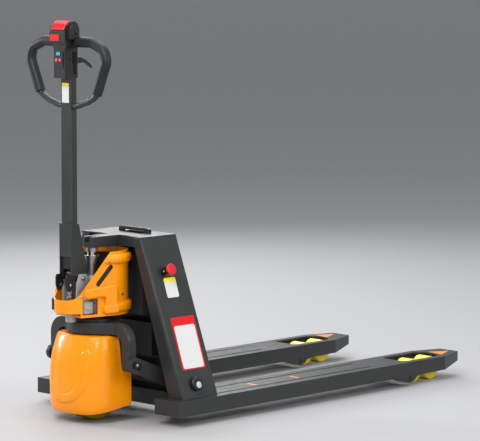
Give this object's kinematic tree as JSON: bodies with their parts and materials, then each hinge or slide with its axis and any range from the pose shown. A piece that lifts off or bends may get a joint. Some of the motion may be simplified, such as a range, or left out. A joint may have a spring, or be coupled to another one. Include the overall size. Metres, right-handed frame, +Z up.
{
  "type": "pallet jack",
  "caption": "Semi-electric pallet jack: orange drive and pump covers, dark tapered tower, looped tiller handle and two long forks with load rollers.",
  "frame": {"origin": "middle of the jack's bounding box, on the floor", "axes": "+X towards the fork tips, +Y to the operator's left, +Z up"},
  "size_m": [1.618, 0.685, 1.2935],
  "materials": {
    "frame_paint": "satin powder coat",
    "orange_cover": "glossy",
    "black_plastic": "fine moulded texture",
    "grip_rubber": "satin foam rubber",
    "cast_iron": "black painted casting",
    "steel": "machined and zinc plated",
    "chrome": "hard chrome",
    "polyurethane": "cast yellow polyurethane",
    "red_plastic": "semi gloss",
    "key_plastic": "translucent rubber key",
    "display_glass": "lit display window"
  },
  "bodies": {
    "yoke": {"yoke_frame": "frame_paint", "yoke_pins": "steel", "steering_bearing": "steel"},
    "frame": {"fork_left": "frame_paint", "fork_right": "frame_paint", "load_pivots": "steel", "tower_side_left": "frame_paint", "tower_side_right": "frame_paint", "tower_back": "frame_paint", "tower_top": "frame_paint", "base_crossbeam": "frame_paint", "frame_shaft": "steel", "shaft_caps": "black_plastic", "estop_housing": "black_plastic", "battery_bay": "frame_paint", "controller_box": "black_plastic"},
    "rocker": {"rocker": "frame_paint"},
    "drive_unit": {"drive_bracket": "frame_paint", "drive_motor": "cast_iron", "drive_axle": "steel", "drive_cover": "orange_cover", "pump_cover": "orange_cover", "pump_body": "steel", "oil_cylinder": "steel", "release_valve": "steel"},
    "drive_wheel": {"drive_hub": "cast_iron", "drive_tyre": "polyurethane"},
    "ram": {"lift_ram": "chrome", "ram_cap": "steel"},
    "plunger": {"pump_plunger": "steel", "pump_spring": "steel"},
    "tiller": {"tiller_tube": "frame_paint", "tiller_base": "cast_iron", "tiller_pivot": "steel", "cam_roller": "steel", "handle_loop": "frame_paint", "grip_left": "grip_rubber", "grip_right": "grip_rubber", "head_front_shell": "black_plastic", "head_rear_shell": "black_plastic", "keypad_panel": "black_plastic", "display": "display_glass"},
    "release_lever": {"release_lever": "black_plastic"},
    "throttle": {"throttle": "black_plastic"},
    "belly_button": {"belly_button": "red_plastic"},
    "key_left": {"key_left": "key_plastic"},
    "key_right": {"key_right": "key_plastic"},
    "estop_button": {"estop_button": "red_plastic"},
    "battery": {"battery_pack": "black_plastic", "battery_handle": "black_plastic"},
    "push_rod_left": {"push_rod_left": "frame_paint"},
    "load_bracket_left": {"load_bracket_left": "frame_paint"},
    "bogie_left": {"bogie_left": "frame_paint"},
    "roller_front_left": {"roller_front_left": "polyurethane"},
    "roller_rear_left": {"roller_rear_left": "polyurethane"},
    "push_rod_right": {"push_rod_right": "frame_paint"},
    "load_bracket_right": {"load_bracket_right": "frame_paint"},
    "bogie_right": {"bogie_right": "frame_paint"},
    "roller_front_right": {"roller_front_right": "polyurethane"},
    "roller_rear_right": {"roller_rear_right": "polyurethane"}
  },
  "joints": [
    {"name": "lift", "type": "slide", "parent": "yoke", "child": "frame", "axis": [0, 0, 1], "range_m": [0, 0.115]},
    {"name": "rocker_turn", "type": "hinge", "parent": "frame", "child": "rocker", "pos_m": [-0.499, 0, 0.128], "axis": [0, -1, 0], "range_deg": [0, 38.51]},
    {"name": "steer", "type": "hinge", "parent": "yoke", "child": "drive_unit", "pos_m": [-0.665, 0, 0.287], "axis": [0, 0, 1], "range_deg": [-90, 90]},
    {"name": "drive_wheel_spin", "type": "hinge", "parent": "drive_unit", "child": "drive_wheel", "pos_m": [-0.665, 0, 0.105], "axis": [0, 1, 0], "continuous": true},
    {"name": "ram_slide", "type": "slide", "parent": "drive_unit", "child": "ram", "axis": [0, 0, 1], "range_m": [0, 0.115]},
    {"name": "tiller_tilt", "type": "hinge", "parent": "drive_unit", "child": "tiller", "pos_m": [-0.737, 0, 0.468], "axis": [0, -1, 0], "range_deg": [0, 75], "stiffness_Nm_per_rad": 30, "springref_deg": -34.38},
    {"name": "plunger_slide", "type": "slide", "parent": "drive_unit", "child": "plunger", "axis": [0, 0, -1], "range_m": [0, 0.02922], "deforming": ["pump_spring"]},
    {"name": "release_pull", "type": "hinge", "parent": "tiller", "child": "release_lever", "pos_m": [-0.757, 0, 1.168], "axis": [0, -1, 0], "range_deg": [0, 14], "stiffness_Nm_per_rad": 1, "springref_deg": -17.19},
    {"name": "throttle_twist", "type": "hinge", "parent": "tiller", "child": "throttle", "pos_m": [-0.777, 0, 1.258], "axis": [0, 1, 0], "range_deg": [-30, 30], "stiffness_Nm_per_rad": 1},
    {"name": "belly_press", "type": "slide", "parent": "tiller", "child": "belly_button", "axis": [1, 0, 0], "range_m": [0, 0.005], "stiffness_N_per_m": 800, "springref_m": -0.004},
    {"name": "key_left_press", "type": "slide", "parent": "tiller", "child": "key_left", "axis": [1, 0, 0], "range_m": [0, 0.0012], "stiffness_N_per_m": 500, "springref_m": -0.001},
    {"name": "push_rod_left_slide", "type": "slide", "parent": "frame", "child": "push_rod_left", "axis": [1, 0, 0], "range_m": [0, 0.03298]},
    {"name": "load_bracket_left_turn", "type": "hinge", "parent": "frame", "child": "load_bracket_left", "pos_m": [0.508, 0.2625, 0.028], "axis": [0, 1, 0], "range_deg": [0, 61.3]},
    {"name": "bogie_left_level", "type": "hinge", "parent": "load_bracket_left", "child": "bogie_left", "pos_m": [0.632, 0.2625, 0.04], "axis": [0, -1, 0], "range_deg": [0, 61.3]},
    {"name": "roller_front_left_spin", "type": "hinge", "parent": "bogie_left", "child": "roller_front_left", "pos_m": [0.587, 0.2625, 0.04], "axis": [0, 1, 0], "continuous": true},
    {"name": "roller_rear_left_spin", "type": "hinge", "parent": "bogie_left", "child": "roller_rear_left", "pos_m": [0.677, 0.2625, 0.04], "axis": [0, 1, 0], "continuous": true},
    {"name": "key_right_press", "type": "slide", "parent": "tiller", "child": "key_right", "axis": [1, 0, 0], "range_m": [0, 0.0012], "stiffness_N_per_m": 500, "springref_m": -0.001},
    {"name": "push_rod_right_slide", "type": "slide", "parent": "frame", "child": "push_rod_right", "axis": [1, 0, 0], "range_m": [0, 0.03298]},
    {"name": "load_bracket_right_turn", "type": "hinge", "parent": "frame", "child": "load_bracket_right", "pos_m": [0.508, -0.2625, 0.028], "axis": [0, 1, 0], "range_deg": [0, 61.3]},
    {"name": "bogie_right_level", "type": "hinge", "parent": "load_bracket_right", "child": "bogie_right", "pos_m": [0.632, -0.2625, 0.04], "axis": [0, -1, 0], "range_deg": [0, 61.3]},
    {"name": "roller_front_right_spin", "type": "hinge", "parent": "bogie_right", "child": "roller_front_right", "pos_m": [0.587, -0.2625, 0.04], "axis": [0, 1, 0], "continuous": true},
    {"name": "roller_rear_right_spin", "type": "hinge", "parent": "bogie_right", "child": "roller_rear_right", "pos_m": [0.677, -0.2625, 0.04], "axis": [0, 1, 0], "continuous": true},
    {"name": "estop_press", "type": "slide", "parent": "frame", "child": "estop_button", "axis": [0, 0.9426, -0.3339], "range_m": [0, 0.006], "stiffness_N_per_m": 800, "springref_m": -0.004},
    {"name": "battery_slide", "type": "slide", "parent": "frame", "child": "battery", "axis": [0, 0, 1], "range_m": [0, 0.27]}
  ],
  "couplings": [
    {"joint": "rocker_turn", "follows": "lift", "rad_per_m": 5.8449},
    {"joint": "ram_slide", "follows": "lift", "ratio": 1},
    {"joint": "plunger_slide", "follows": "tiller_tilt", "m_per_rad": 0.022323},
    {"joint": "push_rod_left_slide", "follows": "lift", "ratio": 0.28677},
    {"joint": "load_bracket_left_turn", "follows": "lift", "rad_per_m": 9.3029},
    {"joint": "bogie_left_level", "follows": "lift", "rad_per_m": 9.3029},
    {"joint": "push_rod_right_slide", "follows": "lift", "ratio": 0.28677},
    {"joint": "load_bracket_right_turn", "follows": "lift", "rad_per_m": 9.3029},
    {"joint": "bogie_right_level", "follows": "lift", "rad_per_m": 9.3029}
  ]
}
